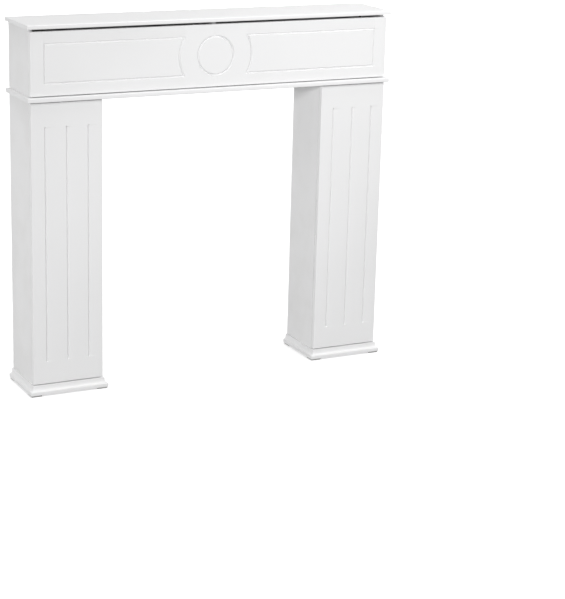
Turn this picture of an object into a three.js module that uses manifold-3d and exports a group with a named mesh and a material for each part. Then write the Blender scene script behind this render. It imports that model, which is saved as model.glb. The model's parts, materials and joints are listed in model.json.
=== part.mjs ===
// A white painted fireplace mantelpiece with storage: two hollow columns with doors,
// and a hollow frieze between a ledge and a top board, closed by a flap that drops forward.
// Millimetres, X to the right, the front facing -Y, Z up.
// The origin is on the floor, under the middle of the whole piece.
import * as THREE from 'three';
import { mergeVertices } from 'three/addons/utils/BufferGeometryUtils.js';
import Module from 'manifold-3d';

const wasm = await Module();
wasm.setup();

// Overall sizes
const overallHeight = 1000;
const bodyWidth = 1047; // over the outer sides of the columns and the frieze
const bodyDepth = 170; // from the wall to the front faces of the doors
const columnWidth = 198;
const seam = 0.3; // hairline between glued or resting pieces

// Boards
const sideThickness = 12;
const doorThickness = 15;
const doorStandoff = 2; // bumper gap between a door's back and the carcass
const backThickness = 5;
const shelfThickness = 12;
const dividerThickness = 12;
const doorEdge = 1.2; // rounding of the door's and the flap's edges

// Top board and ledge
const topThickness = 11;
const topSideOverhang = 9.5;
const topFrontOverhang = 8;
const ledgeThickness = 12;
const ledgeSideOverhang = 10;
const ledgeFrontOverhang = 10;
const boardEdge = 3; // rounding of the edges of these two boards

// Heights
const footHeight = 4;
const footSize = 30;
const footInset = 2; // in from the plinth's lower edges
const plinthHeight = 25;
const plinthProjection = 12;
const plinthTopProjection = 4;
const plinthBand = 7.5; // the flat band at the plinth's foot
const plinthShoulderHeight = 3.5;
const plinthShoulderDepth = 2.8;
const plinthBead = 4; // under the column
const friezeHeight = 177; // clear height between the ledge and the top board
const shelfHeight = 455; // top face of the shelves, above the floor

// Gaps round the doors and the flap
const doorTopGap = 3;
const doorBottomGap = 2.5;
const flapTopGap = 7;
const flapBottomGap = 2.5;

// Routed grooves
const grooveWidth = 5;
const grooveDepth = 2;
const doorGrooveCount = 3;
const doorGrooveSpacing = 60;
const doorGrooveBottom = 64; // from the door's bottom edge
const doorGrooveTop = 66; // from the door's top edge
const ringRadius = 52;
const panelArcRadius = 106;
const panelHeight = 103;
const panelEndInset = 39; // from the flap's end to its panel

// Finger pull in the door's free edge
const pullLength = 107;
const pullWidth = 7;
const pullDepth = 6;
const pullCentre = 421; // above the floor

// Concealed hinges
const cupBore = 35;
const cupClearance = 0.3;
const cupBoreDepth = 11;
const cupWall = 1;
const cupEdgeDistance = 5; // from the door's edge to the bore
const flangeLength = 52;
const flangeWidth = 18;
const flangeThickness = 1.1;
const hingePivotInset = 4; // the turning line, in from the door's front outer edge both ways
const linkPinAcross = 9.8; // the pin in the cup, from the door's edge
const linkPinDepth = 13.2; // the same pin, back from the door's front face
const armPinAcross = 27; // the pin in the arm, from the door's edge
const pinRadius = 1;
const pinClearance = 0.3;
const linkThickness = 2.4;
const linkWidth = 8;
const linkEyeRadius = 2.3;
const linkDip = 2.8; // how far the link hooks away from the straight line between its pins
const armWall = 1.2;
const armSlotClearance = 0.6;
const armBodyHeight = 11;
const armLength = 62; // behind the carcass front
const armStart = 14; // where the arm touches down, behind the carcass front
const armNoseRadius = 2.4; // round the arm's pin
const armNeckLower = 2; // where the neck's lower edge starts, behind the carcass front
const armNeckUpper = 4; // where its upper edge starts
const armFullHeightAt = 24; // where the arm reaches its full height, behind the carcass front
const armSlotEnd = 18; // how far the fork's slot reaches, behind the carcass front
const armTailLength = 6; // the slope at the arm's back end
const armTailDrop = 4;
const plateStart = 16; // the mounting plate's front end, behind the carcass front
const wingSpan = 46;
const wingCentre = 36; // behind the carcass front
const wingLength = 12;
const plateWidth = 20;
const plateThickness = 1.6;
const doorHingeTop = 62; // from the door's top edge to the upper hinge
const doorHingeBottom = 98; // from the door's bottom edge to the lower hinge
const flapHingeInset = 96; // from the flap's end to its hinge

// Shelf pins
const pinDiameter = 5;
const pinReach = 8;
const shelfPinSetback = 25; // from the shelf's front and back edges
const shelfSideGap = 1;

// How finely the round shapes are faceted
const doorEdgeSteps = 2;
const boardEdgeSteps = 3;
const cutterFacets = 10;
const cutterEndSteps = 3;
const ringSteps = 48;
const arcSteps = 72;
const pullFacets = 16;
const pullEndSteps = 4;
const plinthCurveSteps = 4;
const cupFacets = 24;
const flangeEndSteps = 6;
const armNoseSteps = 6;
const linkSteps = 8;
const linkEyeFacets = 12;
const linkHoleFacets = 10;
const cupPinFacets = 8;
const shelfPinFacets = 12;

// Levels and planes worked out from the sizes
const plinthBottom = footHeight;
const columnBottom = plinthBottom + plinthHeight;
const topBottom = overallHeight - topThickness;
const ledgeTop = topBottom - friezeHeight;
const ledgeBottom = ledgeTop - ledgeThickness;
const halfWidth = bodyWidth / 2;
const frontReach = Math.max(plinthProjection, ledgeFrontOverhang, topFrontOverhang);
const frontY = -(bodyDepth - frontReach) / 2;
const backY = frontY + bodyDepth;
const carcassFrontY = frontY + doorThickness + doorStandoff;
const doorBottom = columnBottom + doorBottomGap;
const doorTop = ledgeBottom - doorTopGap;
const doorHeight = doorTop - doorBottom;
const flapBottom = ledgeTop + flapBottomGap;
const flapTop = topBottom - flapTopGap;
const flapHeight = flapTop - flapBottom;

// Finishes
const paint = () => new THREE.MeshStandardMaterial({ color: 0xf0f0ee, roughness: 0.42, metalness: 0 });
const insidePaint = () => new THREE.MeshStandardMaterial({ color: 0xe6e6e4, roughness: 0.6, metalness: 0 });
const hingeSteel = () => new THREE.MeshStandardMaterial({
  color: 0x4b443b, roughness: 0.4, metalness: 0.9,
});
const footPlastic = () => new THREE.MeshStandardMaterial({ color: 0x8d8d8b, roughness: 0.6, metalness: 0 });

const mantel = new THREE.Group();

// Adds one named piece to a group.
function addPiece(group, name, geometry, material) {
  const mesh = new THREE.Mesh(geometry, material);
  mesh.name = name;
  group.add(mesh);
  return mesh;
}

// A closed geometry becomes a solid that can be joined and cut.
// Faces that shrink to a line at an axis are dropped.
function toSolid(geometry) {
  const plain = geometry.clone();
  plain.deleteAttribute('normal');
  plain.deleteAttribute('uv');
  const merged = mergeVertices(plain, 1e-4);
  const corners = merged.index.array;
  const faces = [];
  for (let first = 0; first < corners.length; first += 3) {
    const [a, b, c] = corners.slice(first, first + 3);
    if (a !== b && b !== c && c !== a) {
      faces.push(a, b, c);
    }
  }
  return new wasm.Manifold(new wasm.Mesh({
    numProp: 3,
    vertProperties: new Float32Array(merged.attributes.position.array),
    triVerts: new Uint32Array(faces),
  }));
}

// A solid becomes a geometry again.
function toGeometry(solid) {
  const mesh = solid.getMesh();
  const geometry = new THREE.BufferGeometry();
  geometry.setAttribute('position', new THREE.BufferAttribute(mesh.vertProperties, 3));
  geometry.setIndex(new THREE.BufferAttribute(mesh.triVerts, 1));
  const flat = geometry.toNonIndexed();
  flat.computeVertexNormals();
  return flat;
}

// A board with square edges, between two corners.
function board(name, low, high, material) {
  const size = high.map((value, axis) => value - low[axis]);
  const mesh = addPiece(mantel, name, new THREE.BoxGeometry(...size), material);
  mesh.position.set(...low.map((value, axis) => (value + high[axis]) / 2));
}

// A flat panel lying in X and Y, its corner at the origin, all its edges rounded.
function easedPanel(width, depth, thickness, edge, steps) {
  const outline = new THREE.Shape();
  outline.moveTo(0, 0);
  outline.lineTo(width, 0);
  outline.lineTo(width, depth);
  outline.lineTo(0, depth);
  const geometry = new THREE.ExtrudeGeometry(outline, {
    depth: thickness - 2 * edge,
    bevelEnabled: true,
    bevelThickness: edge,
    bevelSize: edge,
    bevelOffset: -edge,
    bevelSegments: steps,
  });
  geometry.translate(0, 0, edge);
  return geometry;
}

// The same panel standing up, with its front face at Y = 0 and its thickness behind it.
function standingPanel(width, height, thickness) {
  const geometry = easedPanel(width, height, thickness, doorEdge, doorEdgeSteps);
  geometry.rotateX(Math.PI / 2);
  geometry.translate(0, thickness, 0);
  return geometry;
}

// The round-nosed cutter that routs the grooves: its radius, and how far it stands off the face.
const cutterRadius = (grooveWidth ** 2 / 4 + grooveDepth ** 2) / (2 * grooveDepth);
const cutterStandoff = cutterRadius - grooveDepth;

// A straight run of the cutter from one point of the front face to another, given in X and Z.
function straightCut(fromX, fromZ, toX, toZ) {
  const run = new THREE.Vector3(toX - fromX, 0, toZ - fromZ);
  const geometry = new THREE.CapsuleGeometry(
    cutterRadius, run.length(), cutterEndSteps, cutterFacets);
  const turn = new THREE.Quaternion().setFromUnitVectors(
    new THREE.Vector3(0, 1, 0), run.clone().normalize());
  geometry.applyQuaternion(turn);
  geometry.translate((fromX + toX) / 2, -cutterStandoff, (fromZ + toZ) / 2);
  return toSolid(geometry);
}

// A full circle of the cutter round a point of the front face.
function circularCut(centreX, centreZ, radius, steps) {
  const geometry = new THREE.TorusGeometry(radius, cutterRadius, cutterFacets, steps);
  geometry.rotateX(Math.PI / 2);
  geometry.translate(centreX, -cutterStandoff, centreZ);
  return toSolid(geometry);
}

// A plain block for cutting, between two corners.
function block(low, high) {
  const geometry = new THREE.BoxGeometry(...high.map((value, axis) => value - low[axis]));
  geometry.translate(...low.map((value, axis) => (value + high[axis]) / 2));
  return toSolid(geometry);
}

// The bore for a hinge cup in a panel's back face, its centre given in X and Z.
const cupCentreAcross = cupEdgeDistance + cupBore / 2;

function cupBoreCut(x, z) {
  const length = cupBoreDepth + doorEdge;
  const geometry = new THREE.CylinderGeometry(cupBore / 2, cupBore / 2, length, cupFacets);
  geometry.translate(x, doorThickness - cupBoreDepth + length / 2, z);
  return toSolid(geometry);
}

// Columns. side is -1 for the left column and 1 for the right one.
const sides = [
  { word: 'left', side: -1 },
  { word: 'right', side: 1 },
];

// A span in X given from the outer face of a column inwards, low end first.
function inwardSpan(side, from, to) {
  const a = side * (halfWidth - from);
  const b = side * (halfWidth - to);
  return [Math.min(a, b), Math.max(a, b)];
}

// A solid of stacked rectangles: each level has its height and its projection
// past the column on the front and on both sides. The back stays flush.
function mouldedBlock(x0, x1, levels) {
  const corners = levels.flatMap(({ z, out }) => [
    [x0 - out, frontY - out, z],
    [x1 + out, frontY - out, z],
    [x1 + out, backY, z],
    [x0 - out, backY, z],
  ]);
  const faces = [0, 2, 1, 0, 3, 2];
  for (let level = 0; level < levels.length - 1; level += 1) {
    for (let corner = 0; corner < 4; corner += 1) {
      const a = level * 4 + corner;
      const b = level * 4 + (corner + 1) % 4;
      faces.push(a, b, b + 4, a, b + 4, a + 4);
    }
  }
  const last = (levels.length - 1) * 4;
  faces.push(last, last + 1, last + 2, last, last + 2, last + 3);
  const geometry = new THREE.BufferGeometry();
  geometry.setAttribute('position', new THREE.Float32BufferAttribute(corners.flat(), 3));
  geometry.setIndex(faces);
  const flat = geometry.toNonIndexed();
  flat.computeVertexNormals();
  return flat;
}

// The plinth's profile from the bottom up: a flat band, a rounded shoulder,
// a hollow, and a small bead under the column.
function plinthLevels() {
  const shoulderBottom = plinthBottom + plinthBand;
  const hollowBottom = shoulderBottom + plinthShoulderHeight;
  const hollowHeight = columnBottom - plinthBead - hollowBottom;
  const hollowDepth = plinthProjection - plinthTopProjection - plinthShoulderDepth;
  const levels = [{ z: plinthBottom, out: plinthProjection }];
  const steps = plinthCurveSteps;
  for (let step = 0; step <= steps; step += 1) {
    const angle = (step / steps) * (Math.PI / 2);
    levels.push({
      z: shoulderBottom + plinthShoulderHeight * Math.sin(angle),
      out: plinthProjection - plinthShoulderDepth * (1 - Math.cos(angle)),
    });
  }
  for (let step = 1; step <= steps; step += 1) {
    const angle = (step / steps) * (Math.PI / 2);
    levels.push({
      z: hollowBottom + hollowHeight * (1 - Math.cos(angle)),
      out: plinthProjection - plinthShoulderDepth - hollowDepth * Math.sin(angle),
    });
  }
  levels.push({ z: columnBottom, out: plinthTopProjection });
  return levels;
}

function column({ word, side }) {
  const outer = inwardSpan(side, 0, sideThickness);
  const inner = inwardSpan(side, columnWidth - sideThickness, columnWidth);
  const between = inwardSpan(side, sideThickness + seam, columnWidth - sideThickness - seam);
  const panelBottom = columnBottom + seam;
  const panelTop = ledgeBottom - seam;
  board(`column_${word}_outer_side`,
    [outer[0], carcassFrontY, panelBottom], [outer[1], backY, panelTop], paint());
  board(`column_${word}_inner_side`,
    [inner[0], carcassFrontY, panelBottom], [inner[1], backY, panelTop], paint());
  board(`column_${word}_back`,
    [between[0], backY - backThickness, panelBottom], [between[1], backY, panelTop], insidePaint());

  const shelfSpan = inwardSpan(side, sideThickness + shelfSideGap,
    columnWidth - sideThickness - shelfSideGap);
  const shelfBottom = shelfHeight - shelfThickness;
  const shelfBack = backY - backThickness - shelfSideGap;
  board(`shelf_${word}`,
    [shelfSpan[0], carcassFrontY, shelfBottom], [shelfSpan[1], shelfBack, shelfHeight], insidePaint());

  const pinPlaces = [
    ['outer_front', sideThickness, 1, carcassFrontY + shelfPinSetback],
    ['outer_back', sideThickness, 1, shelfBack - shelfPinSetback],
    ['inner_front', columnWidth - sideThickness, -1, carcassFrontY + shelfPinSetback],
    ['inner_back', columnWidth - sideThickness, -1, shelfBack - shelfPinSetback],
  ];
  for (const [place, from, way, y] of pinPlaces) {
    const near = from + way * seam;
    const far = from + way * pinReach;
    const pin = new THREE.CylinderGeometry(
      pinDiameter / 2, pinDiameter / 2, pinReach - seam, shelfPinFacets);
    pin.rotateZ(Math.PI / 2);
    const mesh = addPiece(mantel, `shelf_pin_${word}_${place}`, pin, hingeSteel());
    mesh.position.set(side * (halfWidth - (near + far) / 2), y, shelfBottom - seam - pinDiameter / 2);
  }

  const span = inwardSpan(side, 0, columnWidth);
  addPiece(mantel, `plinth_${word}`, mouldedBlock(span[0], span[1], plinthLevels()), paint());

  const footReach = footInset - plinthProjection;
  const footX = [span[0] + footReach, span[1] - footReach - footSize];
  const footY = [frontY + footReach, backY - footInset - footSize];
  for (const [xWord, x] of [['left', footX[0]], ['right', footX[1]]]) {
    for (const [yWord, y] of [['front', footY[0]], ['back', footY[1]]]) {
      board(`foot_${word}_column_${yWord}_${xWord}`,
        [x, y, 0], [x + footSize, y + footSize, footHeight - seam], footPlastic());
    }
  }
}

// A door, made in its own frame: X across from its left edge, Z up from its bottom,
// the front face at Y = 0. The hinges are on the column's outer side.
function door({ word, side }) {
  const hingeAcross = side < 0 ? cupCentreAcross : columnWidth - cupCentreAcross;
  const freeEdge = side < 0 ? columnWidth : 0;
  let solid = toSolid(standingPanel(columnWidth, doorHeight, doorThickness));
  for (let groove = 0; groove < doorGrooveCount; groove += 1) {
    const x = columnWidth / 2 + (groove - (doorGrooveCount - 1) / 2) * doorGrooveSpacing;
    solid = solid.subtract(straightCut(x, doorGrooveBottom, x, doorHeight - doorGrooveTop));
  }
  for (const z of [doorHingeBottom, doorHeight - doorHingeTop]) {
    solid = solid.subtract(cupBoreCut(hingeAcross, z));
  }
  const pull = new THREE.CapsuleGeometry(
    pullWidth / 2, pullLength - pullWidth, pullEndSteps, pullFacets);
  pull.rotateX(Math.PI / 2);
  pull.scale(2 * pullDepth / pullWidth, 1, 1);
  pull.translate(freeEdge, doorThickness / 2, pullCentre - doorBottom);
  solid = solid.subtract(toSolid(pull));
  const mesh = addPiece(mantel, `door_${word}`, toGeometry(solid), paint());
  mesh.position.set(side < 0 ? -halfWidth : halfWidth - columnWidth, frontY, doorBottom);
}

// The flap, made in its own frame: X from its middle, Z up from its bottom edge.
function flap() {
  const middle = flapHeight / 2;
  const panel = standingPanel(bodyWidth, flapHeight, doorThickness);
  panel.translate(-halfWidth, 0, 0);
  let solid = toSolid(panel).subtract(circularCut(0, middle, ringRadius, ringSteps));

  const half = panelHeight / 2;
  const band = block([-panelArcRadius * 2, -doorThickness, middle - half],
    [panelArcRadius * 2, doorThickness, middle + half]);
  solid = solid.subtract(circularCut(0, middle, panelArcRadius, arcSteps).intersect(band));

  const arcEnd = Math.sqrt(panelArcRadius ** 2 - half ** 2);
  const farEnd = halfWidth - panelEndInset;
  for (const { side } of sides) {
    solid = solid.subtract(straightCut(side * farEnd, middle - half, side * farEnd, middle + half));
    for (const z of [middle - half, middle + half]) {
      solid = solid.subtract(straightCut(side * arcEnd, z, side * farEnd, z));
    }
    solid = solid.subtract(cupBoreCut(side * (halfWidth - flapHingeInset), cupCentreAcross));
  }
  const mesh = addPiece(mantel, 'flap', toGeometry(solid), paint());
  mesh.position.set(0, frontY, flapBottom);
}

// Hinges. Each is made in a frame of its own: U across the door from its hinged edge,
// V back from the door's front face, W along the line that the door turns about.
// The link joins a pin in the cup to a pin in the arm, and both pins keep their distance
// with the door shut and with it turned by a right angle, which gives the arm pin's place.
const armPinDepth = (armPinAcross * (linkPinDepth - linkPinAcross)
  + 2 * hingePivotInset * (linkPinAcross - hingePivotInset))
  / (linkPinAcross + linkPinDepth - 2 * hingePivotInset);
const linkLength = Math.hypot(armPinAcross - linkPinAcross, armPinDepth - linkPinDepth);
const linkRestAngle = Math.atan2(armPinDepth - linkPinDepth, armPinAcross - linkPinAcross);

// The cup with its flange, which sits in the door.
function cupGeometry() {
  const outer = cupBore / 2 - cupClearance;
  const inner = outer - cupWall;
  const floor = doorThickness - cupBoreDepth + cupClearance;
  const flangeBack = doorThickness + seam;
  const rim = flangeBack + flangeThickness;
  const cup = new THREE.LatheGeometry([
    new THREE.Vector2(0, floor),
    new THREE.Vector2(outer, floor),
    new THREE.Vector2(outer, rim),
    new THREE.Vector2(inner, rim),
    new THREE.Vector2(inner, floor + cupWall),
    new THREE.Vector2(0, floor + cupWall),
  ], cupFacets);
  cup.translate(cupCentreAcross, 0, 0);

  const plate = new THREE.Shape();
  const halfSpan = (flangeLength - flangeWidth) / 2;
  plate.absarc(0, halfSpan, flangeWidth / 2, 0, Math.PI, false);
  plate.absarc(0, -halfSpan, flangeWidth / 2, Math.PI, 2 * Math.PI, false);
  const flange = new THREE.ExtrudeGeometry(plate, {
    depth: flangeThickness, bevelEnabled: false, curveSegments: flangeEndSteps,
  });
  flange.rotateX(Math.PI / 2);
  flange.translate(cupCentreAcross, rim, 0);
  const mouth = new THREE.CylinderGeometry(
    outer - cupWall / 2, outer - cupWall / 2, cupBore, cupFacets);
  mouth.translate(cupCentreAcross, rim, 0);

  const pinHalf = Math.sqrt((outer - cupWall / 2) ** 2 - (cupCentreAcross - linkPinAcross) ** 2);
  const pin = new THREE.CylinderGeometry(pinRadius, pinRadius, 2 * pinHalf, cupPinFacets);
  pin.rotateX(Math.PI / 2);
  pin.translate(linkPinAcross, linkPinDepth, 0);
  const wings = toSolid(flange).subtract(toSolid(mouth));
  return toGeometry(toSolid(cup).add(wings).add(toSolid(pin)));
}

// A flat outline in U and V pushed out to both sides along W.
function profileGeometry(outline, width) {
  const geometry = new THREE.ExtrudeGeometry(outline, {
    depth: width, bevelEnabled: false, curveSegments: armNoseSteps,
  });
  geometry.translate(0, 0, -width / 2);
  return geometry;
}

// The hooked link, from its eye on the cup's pin to the arm's pin. Its middle line dips away
// from the straight one in one smooth arch, so that it clears the cup's rim.
function linkGeometry() {
  const near = [];
  const far = [];
  for (let step = 0; step <= linkSteps; step += 1) {
    const share = step / linkSteps;
    const slope = -Math.PI * linkDip * Math.cos(Math.PI * share) / linkLength;
    const point = new THREE.Vector2(share * linkLength, -linkDip * Math.sin(Math.PI * share));
    const across = new THREE.Vector2(-slope, 1).setLength(linkThickness / 2);
    near.push(point.clone().add(across));
    far.push(point.clone().sub(across));
  }
  const strip = toSolid(profileGeometry(new THREE.Shape([...far, ...near.reverse()]), linkWidth));
  const eye = new THREE.CylinderGeometry(linkEyeRadius, linkEyeRadius, linkWidth, linkEyeFacets);
  eye.rotateX(Math.PI / 2);
  const hole = new THREE.CylinderGeometry(
    pinRadius + pinClearance, pinRadius + pinClearance, 2 * linkWidth, linkHoleFacets);
  hole.rotateX(Math.PI / 2);
  const geometry = toGeometry(strip.add(toSolid(eye)).subtract(toSolid(hole)));
  geometry.rotateZ(linkRestAngle);
  geometry.translate(linkPinAcross, linkPinDepth, 0);
  return geometry;
}

// The arm and its mounting plate in one piece, on a carcass face that lies at mountAt
// in U. The arm is a fork round the link at its front end.
function armGeometry(mountAt) {
  const carcassFront = doorThickness + doorStandoff;
  const plateFace = mountAt + seam;
  const plateTop = plateFace + plateThickness;
  const bodyTop = plateFace + armBodyHeight;
  const bodyFoot = plateFace + plateThickness / 2; // sunk into the plate that it is one piece with
  const end = carcassFront + armLength;
  const noseLow = armPinAcross - armNoseRadius;
  const noseHigh = armPinAcross + armNoseRadius;
  const profile = new THREE.Shape();
  profile.moveTo(bodyFoot, end);
  profile.lineTo(bodyFoot, carcassFront + armStart);
  profile.lineTo(noseLow, carcassFront + armNeckLower);
  profile.lineTo(noseLow, armPinDepth);
  profile.absarc(armPinAcross, armPinDepth, armNoseRadius, Math.PI, 2 * Math.PI, false);
  profile.lineTo(noseHigh, carcassFront + armNeckUpper);
  profile.lineTo(bodyTop, carcassFront + armFullHeightAt);
  profile.lineTo(bodyTop, end - armTailLength);
  profile.lineTo(bodyTop - armTailDrop, end);
  const halfSlot = linkWidth / 2 + armSlotClearance;
  const slot = block(
    [Math.min(plateFace, noseLow) - armNoseRadius, armPinDepth - 2 * armNoseRadius, -halfSlot],
    [Math.max(bodyTop, noseHigh) + armNoseRadius, carcassFront + armSlotEnd, halfSlot]);
  let arm = toSolid(profileGeometry(profile, 2 * (halfSlot + armWall))).subtract(slot);

  const wingAt = carcassFront + wingCentre;
  arm = arm.add(block([plateFace, carcassFront + plateStart, -plateWidth / 2],
    [plateTop, end, plateWidth / 2]));
  arm = arm.add(block([plateFace, wingAt - wingLength / 2, -wingSpan / 2],
    [plateTop, wingAt + wingLength / 2, wingSpan / 2]));
  return toGeometry(arm);
}

// Places the three pieces of a hinge: corner is the panel's front outer edge at the hinge,
// across and back are the directions of U and V, and mountAt is the carcass face in U.
function hinge(word, corner, across, back, mountAt) {
  const group = new THREE.Group();
  const along = new THREE.Vector3().crossVectors(across, back);
  group.quaternion.setFromRotationMatrix(new THREE.Matrix4().makeBasis(across, back, along));
  group.position.copy(corner);
  addPiece(group, `hinge_cup_${word}`, cupGeometry(), hingeSteel());
  addPiece(group, `hinge_link_${word}`, linkGeometry(), hingeSteel());
  addPiece(group, `hinge_arm_${word}`, armGeometry(mountAt), hingeSteel());
  mantel.add(group);
}

function doorHinges({ word, side }) {
  const across = new THREE.Vector3(-side, 0, 0);
  const back = new THREE.Vector3(0, 1, 0);
  const places = [
    ['top', doorTop - doorHingeTop],
    ['bottom', doorBottom + doorHingeBottom],
  ];
  for (const [place, z] of places) {
    const corner = new THREE.Vector3(side * halfWidth, frontY, z);
    hinge(`${word}_${place}`, corner, across, back, sideThickness);
  }
}

function flapHinges({ word, side }) {
  const corner = new THREE.Vector3(side * (halfWidth - flapHingeInset), frontY, flapBottom);
  hinge(`flap_${word}`, corner, new THREE.Vector3(0, 0, 1), new THREE.Vector3(0, 1, 0), -flapBottomGap);
}

// The frieze box between the ledge and the top board.
function frieze() {
  const low = ledgeTop + seam;
  const high = topBottom - seam;
  for (const { word, side } of sides) {
    const span = inwardSpan(side, 0, sideThickness);
    board(`frieze_${word}_side`, [span[0], carcassFrontY, low], [span[1], backY, high], paint());
  }
  const inside = halfWidth - sideThickness - seam;
  board('frieze_back', [-inside, backY - backThickness, low], [inside, backY, high], insidePaint());
  board('frieze_divider', [-dividerThickness / 2, carcassFrontY, low],
    [dividerThickness / 2, backY - backThickness - seam, high], paint());
}

// The two long boards, lying flat with rounded edges, their backs in line with the columns.
function longBoard(name, sideOverhang, frontOverhang, thickness, bottom) {
  const width = bodyWidth + 2 * sideOverhang;
  const depth = bodyDepth + frontOverhang;
  const panel = easedPanel(width, depth, thickness, boardEdge, boardEdgeSteps);
  const mesh = addPiece(mantel, name, panel, paint());
  mesh.position.set(-width / 2, frontY - frontOverhang, bottom);
}

longBoard('top_board', topSideOverhang, topFrontOverhang, topThickness, topBottom);
longBoard('ledge_board', ledgeSideOverhang, ledgeFrontOverhang, ledgeThickness, ledgeBottom);
frieze();
flap();
for (const each of sides) {
  column(each);
  door(each);
  doorHinges(each);
  flapHinges(each);
}

export default mantel;
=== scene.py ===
# A white painted fireplace mantelpiece with storage, dressed round its construction model.
# Metres, X to the right, the front facing -Y, Z up.
import json
import math

import bmesh
import bpy
import numpy as np
from mathutils import Matrix, Vector


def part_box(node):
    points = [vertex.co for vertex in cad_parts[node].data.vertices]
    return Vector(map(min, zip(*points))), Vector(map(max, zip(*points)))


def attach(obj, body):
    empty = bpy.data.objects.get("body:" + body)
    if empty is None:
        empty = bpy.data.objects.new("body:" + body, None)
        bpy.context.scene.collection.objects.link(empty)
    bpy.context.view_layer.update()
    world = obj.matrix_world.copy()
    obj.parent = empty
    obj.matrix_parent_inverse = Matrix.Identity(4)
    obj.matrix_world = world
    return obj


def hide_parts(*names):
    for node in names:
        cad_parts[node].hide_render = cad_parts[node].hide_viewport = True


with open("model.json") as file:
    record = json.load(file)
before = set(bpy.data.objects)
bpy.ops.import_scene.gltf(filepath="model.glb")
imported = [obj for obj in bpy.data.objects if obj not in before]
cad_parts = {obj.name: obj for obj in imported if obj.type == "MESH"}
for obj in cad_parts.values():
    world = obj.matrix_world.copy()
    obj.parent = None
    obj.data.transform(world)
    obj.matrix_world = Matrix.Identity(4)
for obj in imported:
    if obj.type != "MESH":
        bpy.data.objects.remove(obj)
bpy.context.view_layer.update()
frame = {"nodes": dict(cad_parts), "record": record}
bodyOf = {node: body for body, nodes in frame["record"]["behaviour"]["bodies"].items() for node in nodes}
slotOf = {row["node"]: row["material_slot"] for row in frame["record"]["subparts"]}
sides = {"left": -1, "right": 1}
print("frame loaded:", len(bodyOf), "nodes")


# Gives a node's sockets their values, or links them to the wires that bring them.
def feed(node, inputs):
    for name, value in inputs.items():
        if isinstance(value, Wire):
            value.tree.links.new(value.socket, node.inputs[name])
        else:
            node.inputs[name].default_value = value


# Shader maths: one socket, so that an expression on values adds its Math nodes.
class Wire:
    def __init__(self, tree, socket=None):
        self.tree = tree
        self.socket = socket

    # Adds a node: settings are set first, then the values or links of its sockets.
    def make(self, kind, settings=None, inputs=None, output=0):
        node = self.tree.nodes.new("ShaderNode" + kind)
        for name, value in (settings or {}).items():
            setattr(node, name, value)
        feed(node, inputs or {})
        return Wire(self.tree, node.outputs[output])

    def maths(self, operation, first, second):
        return self.make("Math", {"operation": operation}, {0: first, 1: second})

    def __add__(self, other):
        return self.maths("ADD", self, other)

    def __radd__(self, other):
        return self.maths("ADD", other, self)

    def __sub__(self, other):
        return self.maths("SUBTRACT", self, other)

    def __rsub__(self, other):
        return self.maths("SUBTRACT", other, self)

    def __mul__(self, other):
        return self.maths("MULTIPLY", self, other)

    def __rmul__(self, other):
        return self.maths("MULTIPLY", other, self)

    # A colour between two others, by this value.
    def tint(self, low, high):
        return self.make("Mix", {"data_type": "RGBA"}, {0: self, 6: low, 7: high}, 2)

    # This value from 0 to 1 as it goes from low to high, held at both ends.
    def between(self, low, high):
        return self.make("MapRange", None, {"Value": self, "From Min": low, "From Max": high})

    # Noise at this place, by its scale and its detail.
    def noise(self, scale, detail):
        return self.make("TexNoise", None, {"Vector": self, "Scale": scale, "Detail": detail})

    # A normal tilted by the slopes of this height.
    def bump(self, strength, distance):
        return self.make("Bump", None, {"Height": self, "Strength": strength, "Distance": distance})

    # Above a half where the surface turns outwards, as on an edge.
    def pointiness(self):
        return self.make("NewGeometry", None, None, 7)


# A new material with its place on the object and its shader node.
def newMaterial(name):
    material = bpy.data.materials.new(name)
    material.use_nodes = True
    shader = next(node for node in material.node_tree.nodes if node.type == "BSDF_PRINCIPLED")
    place = Wire(material.node_tree).make("TexCoord", None, None, 3)
    return material, place, shader


# Sprayed paint on board: slow drifts of tone, a fine orange-peel skin, faint rubbed patches.
def sprayedPaint(name, look):
    material, place, shader = newMaterial(name)
    rub = place.noise(*look["rub"])
    drift = place.noise(*look["drift"]).between(*look["driftRange"])
    tone = drift.tint(look["darkTone"], look["lightTone"])
    worn = place.pointiness().between(*look["edgeRange"]) * rub.between(*look["rubRange"]) * look["wear"]
    feed(shader, {
        "Base Color": worn.tint(tone, look["wornTone"]),
        "Roughness": look["roughness"] + (rub - 0.5) * look["roughnessDrift"],
        "Normal": place.noise(*look["skin"]).bump(look["skinStrength"], look["skinHeight"]),
        "Specular IOR Level": look["specular"],
    })
    return material


# Dark burnished steel: brushed along one way, with brighter rubbed edges.
def burnishedSteel(name, look):
    material, place, shader = newMaterial(name)
    along = place.make("Mapping", None, {"Vector": place, "Scale": look["brushStretch"]})
    brush = along.noise(*look["brush"])
    cloud = place.noise(*look["cloud"]).between(*look["cloudRange"])
    tone = cloud.tint(look["darkTone"], look["lightTone"])
    rubbed = place.pointiness().between(*look["edgeRange"]) * look["wear"]
    feed(shader, {
        "Base Color": rubbed.tint(tone, look["rubbedTone"]),
        "Metallic": look["metallic"],
        "Roughness": look["roughness"] + (brush - 0.5) * look["roughnessDrift"],
        "Normal": brush.bump(look["brushStrength"], look["brushHeight"]),
    })
    return material


# Moulded plastic with a fine matt grain.
def mouldedPlastic(name, look):
    material, place, shader = newMaterial(name)
    cloud = place.noise(*look["cloud"])
    feed(shader, {
        "Base Color": cloud.between(*look["cloudRange"]).tint(look["darkTone"], look["lightTone"]),
        "Roughness": look["roughness"] + (cloud - 0.5) * look["roughnessDrift"],
        "Normal": place.noise(*look["grain"]).bump(look["grainStrength"], look["grainHeight"]),
    })
    return material


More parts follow.
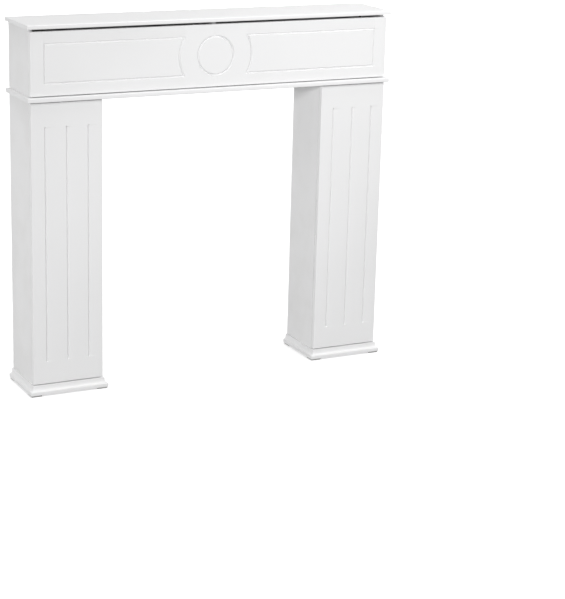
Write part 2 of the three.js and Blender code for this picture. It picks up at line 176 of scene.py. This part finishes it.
# Each noise has its scale and its detail.
paintLook = {
    "drift": (2.5, 3.0), "rub": (14.0, 5.0), "skin": (650.0, 2.0), "skinStrength": 0.12,
    "skinHeight": 0.00008, "driftRange": (0.3, 0.7), "rubRange": (0.45, 0.7), "edgeRange": (0.52, 0.6),
    "wear": 0.35, "roughness": 0.38, "roughnessDrift": 0.12, "specular": 0.45,
    "darkTone": (0.845, 0.845, 0.847, 1.0), "lightTone": (0.875, 0.875, 0.878, 1.0),
    "wornTone": (0.79, 0.785, 0.77, 1.0),
}
insideLook = dict(paintLook, skin=(900.0, 2.0), roughness=0.55, wear=0.2,
                  darkTone=(0.80, 0.80, 0.795, 1.0), lightTone=(0.83, 0.83, 0.828, 1.0))
steelLook = {
    "brushStretch": (1.0, 1.0, 8.0), "brush": (900.0, 4.0), "brushStrength": 0.15, "brushHeight": 0.00005,
    "cloud": (60.0, 3.0), "cloudRange": (0.35, 0.65), "edgeRange": (0.52, 0.62), "wear": 0.6,
    "metallic": 0.85, "roughness": 0.36, "roughnessDrift": 0.2,
    "darkTone": (0.055, 0.045, 0.035, 1.0), "lightTone": (0.10, 0.082, 0.065, 1.0),
    "rubbedTone": (0.30, 0.27, 0.23, 1.0),
}
padLook = {
    "grain": (1500.0, 2.0), "grainStrength": 0.3, "grainHeight": 0.0001,
    "cloud": (40.0, 3.0), "cloudRange": (0.3, 0.7), "roughness": 0.6, "roughnessDrift": 0.15,
    "darkTone": (0.30, 0.30, 0.29, 1.0), "lightTone": (0.38, 0.38, 0.37, 1.0),
}
# Painted shade: a near-black tone that stands for the shade inside a bored hole.
holeShadeLook = dict(padLook, darkTone=(0.10, 0.09, 0.08, 1.0), lightTone=(0.14, 0.13, 0.12, 1.0))
materials = {
    "white_paint": sprayedPaint("satinWhitePaint", paintLook),
    "inside_white": sprayedPaint("insideWhiteFacing", insideLook),
    "hinge_steel": burnishedSteel("burnishedSteel", steelLook),
    "foot_plastic": mouldedPlastic("greyGlidePad", padLook),
}
# The painted shade of the spare holes, made with the plastic shader.
paintedHoleShadeMaterial = mouldedPlastic("boredHole", holeShadeLook)
for nodeName, cadObject in frame["nodes"].items():
    cadObject.data.materials.clear()
    cadObject.data.materials.append(materials[slotOf[nodeName]])
print("materials made")

# For every mesh: how near points are merged, how short edges are dropped, where shading turns sharp.
meshLook = {"doubles": 1e-6, "slivers": 1e-7, "sharpAngle": 35.0}


# Gives a bmesh to a new object: doubles merged, faces outwards, smooth up to an angle.
def finishMesh(name, work, material):
    bmesh.ops.remove_doubles(work, verts=work.verts, dist=meshLook["doubles"])
    bmesh.ops.dissolve_degenerate(work, edges=work.edges, dist=meshLook["slivers"])
    bmesh.ops.recalc_face_normals(work, faces=work.faces)
    mesh = bpy.data.meshes.new(name)
    work.to_mesh(mesh)
    work.free()
    mesh.shade_smooth()
    mesh.set_sharp_from_angle(angle=math.radians(meshLook["sharpAngle"]))
    mesh.materials.append(material)
    piece = bpy.data.objects.new(name, mesh)
    bpy.context.scene.collection.objects.link(piece)
    return piece


# Joins grids of points, each rows by columns by 3, and flat outlines into one closed shell.
def shell(name, grids, outlines, material):
    points = []
    faces = []
    start = 0
    for grid in grids:
        rows, columns = grid.shape[:2]
        index = start + np.arange(rows * columns).reshape(rows, columns)
        quads = np.stack([index[:-1, :-1], index[1:, :-1], index[1:, 1:], index[:-1, 1:]], axis=-1)
        faces += quads.reshape(-1, 4).tolist()
        points.append(grid.reshape(-1, 3))
        start += rows * columns
    for outline in outlines:
        faces.append(list(range(start, start + len(outline))))
        points.append(outline)
        start += len(outline)
    mesh = bpy.data.meshes.new("draft")
    mesh.from_pydata(np.concatenate(points).tolist(), [], faces)
    work = bmesh.new()
    work.from_mesh(mesh)
    bpy.data.meshes.remove(mesh)
    return finishMesh(name, work, material)


# Puts a piece on its body, in place of the nodes it stands for.
def settle(piece, body, slot, *nodes):
    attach(piece, body)
    if nodes:
        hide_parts(*nodes)


# The words of a node's name run together, each with a capital.
def joined(words):
    return "".join(word.capitalize() for word in words.split("_"))


# Cuts closed shapes out of a piece, and removes the cutters.
def carve(piece, cutters):
    for cutter in cutters:
        cut = piece.modifiers.new("cut", "BOOLEAN")
        cut.operation = "DIFFERENCE"
        cut.solver = "EXACT"
        cut.object = cutter
    evaluated = piece.evaluated_get(bpy.context.evaluated_depsgraph_get())
    carved = bpy.data.meshes.new_from_object(evaluated)
    piece.modifiers.clear()
    piece.data = carved
    carved.set_sharp_from_angle(angle=math.radians(meshLook["sharpAngle"]))
    for cutter in cutters:
        bpy.data.objects.remove(cutter)


# A slab's rounding has this many steps, and its lines stay a radius over gapShare apart.
slabLook = {"steps": 6, "gapShare": 40}


# Grid lines over a length: a rounding at both ends, at radius * (1 - cos angle), even coarse
# lines, and fine bands.
def gridLines(length, radius, coarse, bands=()):
    ends = radius * (1 - np.cos(np.linspace(0, math.pi / 2, slabLook["steps"])))
    lines = [ends, length - ends, np.linspace(radius, length - radius, coarse)]
    lines += [np.arange(low, high, step) for low, high, step in bands]
    together = np.unique(np.concatenate(lines))
    leastGap = radius / slabLook["gapShare"]
    kept = [together[0]]
    for line in together[1:-1]:
        if line - kept[-1] > leastGap and length - line > leastGap:
            kept.append(line)
    return np.array(kept + [length])


# A slab with all its long edges rounded by a quarter circle. Its face is the height field
# depth(across, up), and its back is flat. place turns (across, up, depth) into X, Y and Z.
def slab(name, size, radius, lines, depthOf, place, material):
    width, height, thickness = size
    across, up = np.meshgrid(*lines, indexing="ij")
    inset = np.minimum(np.minimum(across, width - across), np.minimum(up, height - up))
    inset = np.clip(inset, 0, radius)
    rounding = radius - np.sqrt(np.maximum(radius ** 2 - (radius - inset) ** 2, 0))
    face = np.stack([across, up, np.maximum(rounding, depthOf(across, up))], axis=-1)
    ring = np.concatenate([face[:-1, 0], face[-1, :-1], face[:0:-1, -1], face[0, ::-1]])
    rows = [ring]
    for angle in np.linspace(0, math.pi / 2, slabLook["steps"]):
        step = radius * (1 - math.cos(angle))
        row = ring.copy()
        row[:, 0] = np.clip(ring[:, 0], step, width - step)
        row[:, 1] = np.clip(ring[:, 1], step, height - step)
        row[:, 2] = thickness - radius + radius * math.sin(angle)
        rows.append(row)
    return shell(name, [place(face), place(np.stack(rows))], [place(rows[-1][:-1])], material)


# Stands a slab up with its face to the front: across is X, up is Z and depth is Y, from a corner.
def upright(corner):
    return lambda points: np.stack(
        [corner.x + points[..., 0], corner.y + points[..., 2], corner.z + points[..., 1]], axis=-1)


# The depth of a routed groove with soft lips: depth * (1 - share^2)^lipPower, where share is the
# distance from its middle line over half its width.
def routed(distance, look):
    share = np.clip(distance / look["halfWidth"], 0, 1)
    return look["depth"] * (1 - share ** 2) ** look["lipPower"]


# A band of close grid lines over the width of a groove.
def grooveBand(middle, look):
    reach = look["halfWidth"]
    return middle - reach, middle + reach, reach / look["fineParts"]


# The distance of points from a straight stroke: from the place on it whose share of its run is
# the points' projection on it, held between 0 and 1.
def toSegment(x, z, fromX, fromZ, upToX, upToZ):
    runX, runZ = upToX - fromX, upToZ - fromZ
    share = np.clip(((x - fromX) * runX + (z - fromZ) * runZ) / (runX ** 2 + runZ ** 2), 0, 1)
    return np.hypot(x - fromX - share * runX, z - fromZ - share * runZ)


# What the doors and the flap have in common.
panelLook = {
    "edge": 0.0012, "halfWidth": 0.0028, "depth": 0.0036, "lipPower": 0.8, "fineParts": 8,
    "boreRadius": 0.0175, "boreDepth": 0.011, "boreEdge": 0.005, "boreSteps": 64,
}


# The cutter of a hinge cup's bore: a closed drum about Y, centred on the panel's back, so that
# half its length is the depth of the bore.
def boreCutter(middle, look):
    work = bmesh.new()
    turn = Vector((0, 0, 1)).rotation_difference(Vector((0, 1, 0))).to_matrix().to_4x4()
    bmesh.ops.create_cone(work, cap_ends=True, segments=look["boreSteps"], radius1=look["boreRadius"],
                          radius2=look["boreRadius"], depth=2 * look["boreDepth"],
                          matrix=Matrix.Translation(middle) @ turn)
    return finishMesh("bore", work, materials["white_paint"])


# Doors: three routed grooves, two bores for the hinge cups, a finger pull in the free edge.
doorLook = dict(
    panelLook, spacing=0.060, count=3, grooveBottom=0.064, grooveTop=0.066, coarseAcross=12, coarseUp=40,
    pullLength=0.107, pullWidth=0.007, pullDepth=0.006, pullCentre=0.421, pullEndSteps=9, pullTurnSteps=49)


# The finger pull's cutter: a capsule along Z, its radius swelling from both ends as a half circle.
def pullCutter(x, y, look):
    reach, half = look["pullLength"] / 2, look["pullWidth"] / 2
    end = np.linspace(0, math.pi / 2, look["pullEndSteps"])
    z = np.concatenate([-reach + half * (1 - np.cos(end)), reach - half * (1 - np.cos(end[::-1]))])
    radius = half * np.concatenate([np.sin(end), np.sin(end[::-1])])
    turn = np.linspace(0, 2 * math.pi, look["pullTurnSteps"])
    grid = np.stack([
        x + np.outer(radius, np.cos(turn)) * look["pullDepth"] / half,
        y + np.outer(radius, np.sin(turn)),
        np.outer(z, np.ones_like(turn)) + look["pullCentre"],
    ], axis=-1)
    return shell("pullCutter", [grid], [], materials["white_paint"])


# A door's face: the depth of a groove at the distance from the nearest of its upright strokes.
def door(word, side, look):
    low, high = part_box("door_" + word)
    width, thickness, height = high - low
    middles = [width / 2 + (n - (look["count"] - 1) / 2) * look["spacing"] for n in range(look["count"])]
    bottom, top = look["grooveBottom"], height - look["grooveTop"]

    def depthOf(x, z):
        return routed(np.minimum.reduce([toSegment(x, z, m, bottom, m, top) for m in middles]), look)

    xBands = [grooveBand(middle, look) for middle in middles]
    zBands = [grooveBand(end, look) for end in (bottom, top)]
    lines = (gridLines(width, look["edge"], look["coarseAcross"], xBands),
             gridLines(height, look["edge"], look["coarseUp"], zBands))
    piece = slab(f"{word}DoorPanel", (width, height, thickness), look["edge"], lines, depthOf,
                 upright(low), materials["white_paint"])
    hingedX, freeX = (high.x, low.x) if side > 0 else (low.x, high.x)
    boreX = hingedX - side * (look["boreEdge"] + look["boreRadius"])
    cutters = []
    for level in ("top", "bottom"):
        cupLow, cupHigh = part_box(f"hinge_cup_{word}_{level}")
        cutters.append(boreCutter((boreX, high.y, (cupLow.z + cupHigh.z) / 2), look))
    cutters.append(pullCutter(freeX, (low.y + high.y) / 2, look))
    carve(piece, cutters)
    settle(piece, bodyOf["door_" + word], "white_paint", "door_" + word)


for word, side in sides.items():
    door(word, side, doorLook)
print("doors made")

# The flap: a routed ring in the middle, and a panel at each end with a concave inner end.
flapLook = dict(
    panelLook, ringRadius=0.052, arcRadius=0.106, panelHeight=0.103, endInset=0.039, fineStep=0.0011,
    coarseAcross=40, coarseUp=6)


# The flap's face: the depth of a groove at the distance from the nearest of its strokes, which are
# the ring, an arc about the flap's middle, and three straight sides. It is the same left and right.
def flap(look):
    low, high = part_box("flap")
    width, thickness, height = high - low
    half = look["panelHeight"] / 2
    reach = look["halfWidth"]
    arcEnd = math.sqrt(look["arcRadius"] ** 2 - half ** 2)
    farEnd = width / 2 - look["endInset"]

    def depthOf(across, up):
        x, z = np.abs(across - width / 2), up - height / 2
        arc = np.where(np.abs(z) <= half, np.abs(np.hypot(x, z) - look["arcRadius"]),
                       np.hypot(x - arcEnd, np.abs(z) - half))
        strokes = [np.abs(np.hypot(x, z) - look["ringRadius"]), arc,
                   toSegment(x, np.abs(z), arcEnd, half, farEnd, half),
                   toSegment(x, z, farEnd, -half, farEnd, half)]
        return routed(np.minimum.reduce(strokes), look)

    middle = look["arcRadius"] + 2 * reach
    xBands = [(width / 2 - middle, width / 2 + middle, look["fineStep"])]
    xBands += [grooveBand(width / 2 + way * farEnd, look) for way in (-1, 1)]
    zBands = [(height / 2 - half - reach, height / 2 + half + reach, look["fineStep"])]
    zBands += [grooveBand(height / 2 + way * half, look) for way in (-1, 1)]
    lines = (gridLines(width, look["edge"], look["coarseAcross"], xBands),
             gridLines(height, look["edge"], look["coarseUp"], zBands))
    piece = slab("flapPanel", (width, height, thickness), look["edge"], lines, depthOf,
                 upright(low), materials["white_paint"])
    boreZ = low.z + look["boreEdge"] + look["boreRadius"]
    cutters = []
    for word in sides:
        cupLow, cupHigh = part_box("hinge_cup_flap_" + word)
        cutters.append(boreCutter(((cupLow.x + cupHigh.x) / 2, high.y, boreZ), look))
    carve(piece, cutters)
    settle(piece, bodyOf["flap"], "white_paint", "flap")


flap(flapLook)
print("flap made")

# The two long boards, lying flat, their edges well rounded.
boardLook = {"edge": 0.002, "coarseAcross": 30, "coarseDeep": 6}


# A slab with a plain face, laid down: across is X, up is Y, and depth goes down from the top.
def longBoard(node, look):
    low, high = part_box(node)
    width, depth, thickness = high - low
    lines = (gridLines(width, look["edge"], look["coarseAcross"]),
             gridLines(depth, look["edge"], look["coarseDeep"]))

    def place(points):
        return np.stack([low.x + points[..., 0], low.y + points[..., 1], high.z - points[..., 2]], axis=-1)

    piece = slab(node.split("_")[0] + "Board", (width, depth, thickness), look["edge"], lines,
                 lambda across, up: np.zeros_like(across), place, materials["white_paint"])
    settle(piece, bodyOf[node], "white_paint", node)


for node in ("top_board", "ledge_board"):
    longBoard(node, boardLook)
print("long boards made")

# Plinths: the moulding's profile is carried round the front and both sides, flush at the back.
plinthLook = {
    "projection": 0.012, "topProjection": 0.004, "band": 0.0075, "shoulderHeight": 0.0035,
    "shoulderDepth": 0.0028, "bead": 0.004, "steps": 16, "softening": 0.0006,
}


# Level and out go up the profile: a softened foot, a shoulder and a hollow that are each a
# quarter of an ellipse, and a softened bead. The corners are mitred.
def plinth(word, look):
    low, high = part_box("plinth_" + word)
    x0, x1 = low.x + look["projection"], high.x - look["projection"]
    frontY = low.y + look["projection"]
    angle = np.linspace(0, math.pi / 2, look["steps"])
    hollowBottom = low.z + look["band"] + look["shoulderHeight"]
    hollowHeight = high.z - look["bead"] - hollowBottom
    hollowDepth = look["projection"] - look["topProjection"] - look["shoulderDepth"]
    softening = look["softening"] * (1 - np.cos(angle))
    level = np.concatenate([
        low.z + softening,
        low.z + look["band"] + look["shoulderHeight"] * np.sin(angle),
        hollowBottom + hollowHeight * (1 - np.cos(angle)),
        high.z - softening[::-1],
    ])
    out = np.concatenate([
        look["projection"] - look["softening"] * (1 - np.sin(angle)),
        look["projection"] - look["shoulderDepth"] * (1 - np.cos(angle)),
        look["projection"] - look["shoulderDepth"] - hollowDepth * np.sin(angle),
        look["topProjection"] - look["softening"] * (1 - np.sin(angle[::-1])),
    ])
    flat = np.full_like(out, high.y)
    corners = [(x0 - out, flat), (x0 - out, frontY - out), (x1 + out, frontY - out), (x1 + out, flat)]
    corners.append(corners[0])
    grid = np.stack([np.stack([x, y, level], axis=-1) for x, y in corners], axis=1)
    piece = shell(f"{word}Plinth", [grid], [grid[0, :-1], grid[-1, :-1]], materials["white_paint"])
    settle(piece, bodyOf["plinth_" + word], "white_paint", "plinth_" + word)


for word in sides:
    plinth(word, plinthLook)
print("plinths made")

# Everything else keeps its own shape, with its doubles merged and its edges eased.
easedRadii = {
    "frieze": 0.0005, "column": 0.0005, "shelf": 0.0008, "foot": 0.0012, "hinge": 0.0, "shelf_pin": 0.0,
}
easingLook = {"flatAngle": 0.5, "cornerAngle": 30.0, "segments": 3, "profile": 0.5}


# A copy of a node's mesh, its corners rounded by an arc of the given radius.
def easedCopy(node, radius, look):
    work = bmesh.new()
    work.from_mesh(frame["nodes"][node].data)
    bmesh.ops.remove_doubles(work, verts=work.verts, dist=meshLook["doubles"])
    bmesh.ops.dissolve_limit(work, angle_limit=math.radians(look["flatAngle"]), verts=work.verts,
                             edges=work.edges)
    if radius:
        sharpest = math.radians(look["cornerAngle"])
        corners = [edge for edge in work.edges if edge.calc_face_angle(0) > sharpest]
        bmesh.ops.bevel(work, geom=corners, offset=radius, offset_type="OFFSET", affect="EDGES",
                        segments=look["segments"], profile=look["profile"])
    first, rest = node.split("_", 1)
    piece = finishMesh(first + joined(rest), work, materials[slotOf[node]])
    settle(piece, bodyOf[node], slotOf[node], node)


for node in sorted(bodyOf):
    kinds = [kind for kind in easedRadii if node.startswith(kind)]
    if kinds:
        easedCopy(node, easedRadii[max(kinds, key=len)], easingLook)
print("boards, feet and hinges finished")

# Screw heads and cam fittings: a low dome with a cross recess, on a face, pointing along out.
headLook = {
    "flangeRadius": 0.0030, "plateRadius": 0.0034, "adjusterRadius": 0.0026, "rise": 0.0009, "power": 4,
    "crossWidth": 0.22, "crossReach": 0.62, "crossFall": 8, "crossDepth": 0.8, "rings": 12, "spokes": 48,
}
camLook = dict(headLook, rise=0.0006, crossWidth=0.16, crossReach=0.5)
# A flat disc with no cross, which carries the painted shade of a hole.
holeShadeDiscLook = dict(headLook, rise=0.0001, crossDepth=0.0)


# Height by radius r and angle: a dome rise * (1 - r^power), less a cross where the point is near
# either of two lines through the middle.
def domedHead(name, centre, out, radius, look, body, material, slot):
    share = np.linspace(0, 1, look["rings"])
    turn = np.linspace(0, 2 * math.pi, look["spokes"] + 1)
    r, angle = np.meshgrid(share, turn, indexing="ij")
    u, v = r * np.cos(angle), r * np.sin(angle)
    nearLine = np.minimum(np.abs(u), np.abs(v)) / (look["crossWidth"] / 2)
    within = np.clip((look["crossReach"] - r) * look["crossFall"], 0, 1)
    cross = np.clip(2 - 2 * nearLine, 0, 1) * within
    rise = look["rise"] * (1 - r ** look["power"]) * (1 - look["crossDepth"] * cross)
    normal = np.array(out, float)
    first = np.cross(normal, (0.0, 0.0, 1.0) if abs(normal[2]) < 0.5 else (1.0, 0.0, 0.0))
    second = np.cross(normal, first)
    grid = (np.array(centre) + radius * (u[..., None] * first + v[..., None] * second)
            + rise[..., None] * normal)
    piece = shell(name, [grid], [grid[-1, :-1]], material)
    settle(piece, body, slot)


# A steel head of the given look.
def steelHead(name, centre, out, radius, look, body="cabinet"):
    domedHead(name, centre, out, radius, look, body, materials["hinge_steel"], "hinge_steel")


# The fittings of a hinge: two screws in the cup's flange, two in the plate's wings, and the
# arm's two adjusting screws.
hingeLook = {
    "flangeScrewOut": 0.0215, "wingScrewOut": 0.018, "wingFromEnd": 0.026, "plateThickness": 0.0016,
    "armHeight": 0.011, "adjusters": (0.009, 0.040), "cupCentreAcross": 0.0225,
}


# Each screw's place is a sum of its distances along three directions: across, from the panel's
# hinged edge over the panel, then back, then along the edge.
def hingeScrews(word, across, along, edgePoint, look):
    cupLow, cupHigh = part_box("hinge_cup_" + word)
    armLow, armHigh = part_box("hinge_arm_" + word)
    across, along = np.array(across, float), np.array(along, float)
    mid = np.dot(np.array((cupLow + cupHigh) / 2), along)
    cupPlace = np.dot(edgePoint, np.abs(across)) + np.sum(across) * look["cupCentreAcross"]
    flatAt = min(np.dot(armLow, across), np.dot(armHigh, across))  # the plate's seat, along across
    seat = (flatAt + look["plateThickness"]) * np.sum(across)
    top = (flatAt + look["armHeight"]) * np.sum(across)
    wingY = armHigh.y - look["wingFromEnd"]
    name = joined(word)

    def point(acrossAt, y, alongAt):
        return np.abs(across) * acrossAt + np.array((0.0, y, 0.0)) + along * alongAt

    for number, way in enumerate((-1, 1)):
        steelHead(f"flangeScrew{name}{number}",
                  point(cupPlace, cupHigh.y, mid + way * look["flangeScrewOut"]), (0, 1, 0),
                  headLook["flangeRadius"], headLook, bodyOf["hinge_cup_" + word])
        steelHead(f"plateScrew{name}{number}", point(seat, wingY, mid + way * look["wingScrewOut"]),
                  across, headLook["plateRadius"], headLook)
    for number, fromEnd in enumerate(look["adjusters"]):
        steelHead(f"armScrew{name}{number}", point(top, armHigh.y - fromEnd, mid), across,
                  headLook["adjusterRadius"], headLook)


for word, side in sides.items():
    doorLow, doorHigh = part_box("door_" + word)
    edgeX = doorHigh.x if side > 0 else doorLow.x
    for level in ("top", "bottom"):
        hingeScrews(f"{word}_{level}", (-side, 0, 0), (0, 0, 1), (edgeX, 0, 0), hingeLook)
    hingeScrews("flap_" + word, (0, 0, 1), (1, 0, 0), (0, 0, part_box("flap")[0].z), hingeLook)
print("hinge screws made")

# Cam fittings inside the frieze and low down in the columns; the shelf pins' spare holes are painted
# shade.
fittingLook = {
    "radius": 0.0075, "fromFront": 0.026, "fromBack": 0.037, "fromTop": 0.024, "fromLedge": 0.026,
    "aboveFloor": 0.015, "holeRadius": 0.0026, "holeSpacing": 0.055,
}


# A row of two fittings at each level, one near the front and one near the back.
def camFittings(node, faceX, out, levels, look):
    low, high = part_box(node)
    for row, z in enumerate(levels):
        for column, y in enumerate((low.y + look["fromFront"], high.y - look["fromBack"])):
            steelHead(f"cam{joined(node)}{row}{column}", (faceX, y, z), (out, 0, 0), look["radius"],
                      camLook)


# Spare holes, as flat dark discs of painted shade on the face, one spacing above a pin and one below it.
def spareHoleShadeDiscs(words, faceX, out, look):
    pinLow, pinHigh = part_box("shelf_pin_" + words)
    y, z = (pinLow.y + pinHigh.y) / 2, (pinLow.z + pinHigh.z) / 2
    for step in (-1, 1):
        domedHead(f"pinHoleShade{joined(words)}{step + 1}", (faceX, y, z + step * look["holeSpacing"]),
                  (out, 0, 0), look["holeRadius"], holeShadeDiscLook, "cabinet", paintedHoleShadeMaterial,
                  "foot_plastic")


for word, side in sides.items():
    low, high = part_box(f"frieze_{word}_side")
    innerX = low.x if side > 0 else high.x
    levels = (high.z - fittingLook["fromTop"], low.z + fittingLook["fromLedge"])
    camFittings(f"frieze_{word}_side", innerX, -side, levels, fittingLook)
    for place, way in (("outer", -side), ("inner", side)):
        node = f"column_{word}_{place}_side"
        low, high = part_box(node)
        faceX = low.x if way < 0 else high.x
        camFittings(node, faceX, way, (low.z + fittingLook["aboveFloor"],), fittingLook)
        for depth in ("front", "back"):
            spareHoleShadeDiscs(f"{word}_{place}_{depth}", faceX, way, fittingLook)
low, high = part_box("frieze_divider")
camFittings("frieze_divider", high.x, 1,
            (high.z - fittingLook["fromTop"], low.z + fittingLook["fromLedge"]), fittingLook)
print("fittings made")

# The camera stands where the photograph's closed view was taken from.
cameraLook = {
    "place": (-2.094, -4.612, 1.683), "azimuth": -27.05, "elevation": 16.33, "roll": 1.555,
    "focalPixels": 1866.0, "imageWidth": 565, "sensorWidth": 36.0, "farthest": 200.0,
}


# The lens is the focal length in pixels, over the image's width, times the sensor's width.
def makeCamera(look):
    azimuth, elevation, roll = (math.radians(look[name]) for name in ("azimuth", "elevation", "roll"))
    toCamera = Vector((math.sin(azimuth) * math.cos(elevation),
                       -math.cos(azimuth) * math.cos(elevation), math.sin(elevation)))
    right = (-toCamera).cross(Vector((0, 0, 1))).normalized()
    up = right.cross(-toCamera)
    turnedRight = right * math.cos(roll) + up * math.sin(roll)
    turnedUp = up * math.cos(roll) - right * math.sin(roll)
    data = bpy.data.cameras.new("camera")
    data.sensor_fit = "HORIZONTAL"
    data.sensor_width = look["sensorWidth"]
    data.lens = look["focalPixels"] / look["imageWidth"] * data.sensor_width
    data.clip_end = look["farthest"]
    camera = bpy.data.objects.new("camera", data)
    turn = Matrix((turnedRight, turnedUp, toCamera)).transposed().to_4x4()
    camera.matrix_world = Matrix.Translation(look["place"]) @ turn
    bpy.context.scene.collection.objects.link(camera)
    bpy.context.scene.camera = camera


makeCamera(cameraLook)

# A pale floor with a faint glow of its own, a pale room, three soft lamps, and an even light from
# above. A lamp has its place, its aim, its size, its power, its spread, and whether it may glare.
stageLook = {
    "floorReach": 80.0, "floorTone": (0.92, 0.92, 0.92, 1.0), "floorRoughness": 0.8, "floorGlow": 0.3,
    "roomTone": (1.0, 1.0, 1.0, 1.0), "roomLight": 0.39, "overheadPower": 1.36, "overheadAngle": 50.0,
    "lamps": {
        "key": ((1.5, -1.9, 2.2), (0.1, 0, 0.85), 1.2, 5.4, 70.0, True),
        "fill": ((-10.2, -9.6, 4.0), (0, 0, 0.5), 2.6, 840.0, 180.0, True),
        "back": ((6.0, 10.0, 2.6), (0, 0, 0.5), 3.0, 560.0, 180.0, False),
    },
}


def makeStage(look):
    reach = look["floorReach"]
    mesh = bpy.data.meshes.new("floor")
    corners = [(-reach, -reach, 0), (reach, -reach, 0), (reach, reach, 0), (-reach, reach, 0)]
    mesh.from_pydata(corners, [], [(0, 1, 2, 3)])
    floor = bpy.data.objects.new("floor", mesh)
    bpy.context.scene.collection.objects.link(floor)
    material, _, shader = newMaterial("paleFloor")
    feed(shader, {"Base Color": look["floorTone"], "Roughness": look["floorRoughness"],
                  "Emission Color": look["roomTone"], "Emission Strength": look["floorGlow"]})
    mesh.materials.append(material)
    floor.visible_diffuse = False  # it throws no light up, so the underside of the ledge stays in shade
    bpy.context.scene.view_settings.view_transform = "Standard"
    world = bpy.data.worlds.new("room")
    bpy.context.scene.world = world
    world.use_nodes = True
    background = next(node for node in world.node_tree.nodes if node.type == "BACKGROUND")
    background.inputs["Color"].default_value = look["roomTone"]
    background.inputs["Strength"].default_value = look["roomLight"]
    sun = bpy.data.lights.new("overhead", "SUN")
    sun.energy = look["overheadPower"]
    sun.angle = math.radians(look["overheadAngle"])
    bpy.context.scene.collection.objects.link(bpy.data.objects.new("overhead", sun))
    for name, (place, target, size, power, spread, glare) in look["lamps"].items():
        data = bpy.data.lights.new(name, "AREA")
        data.shape = "DISK"
        data.size = size
        data.energy = power
        data.spread = math.radians(spread)
        lamp = bpy.data.objects.new(name, data)
        lamp.visible_glossy = glare
        aim = Vector(target) - Vector(place)
        lamp.matrix_world = Matrix.Translation(place) @ aim.to_track_quat("-Z", "Y").to_matrix().to_4x4()
        bpy.context.scene.collection.objects.link(lamp)


makeStage(stageLook)
print("camera and stage made")
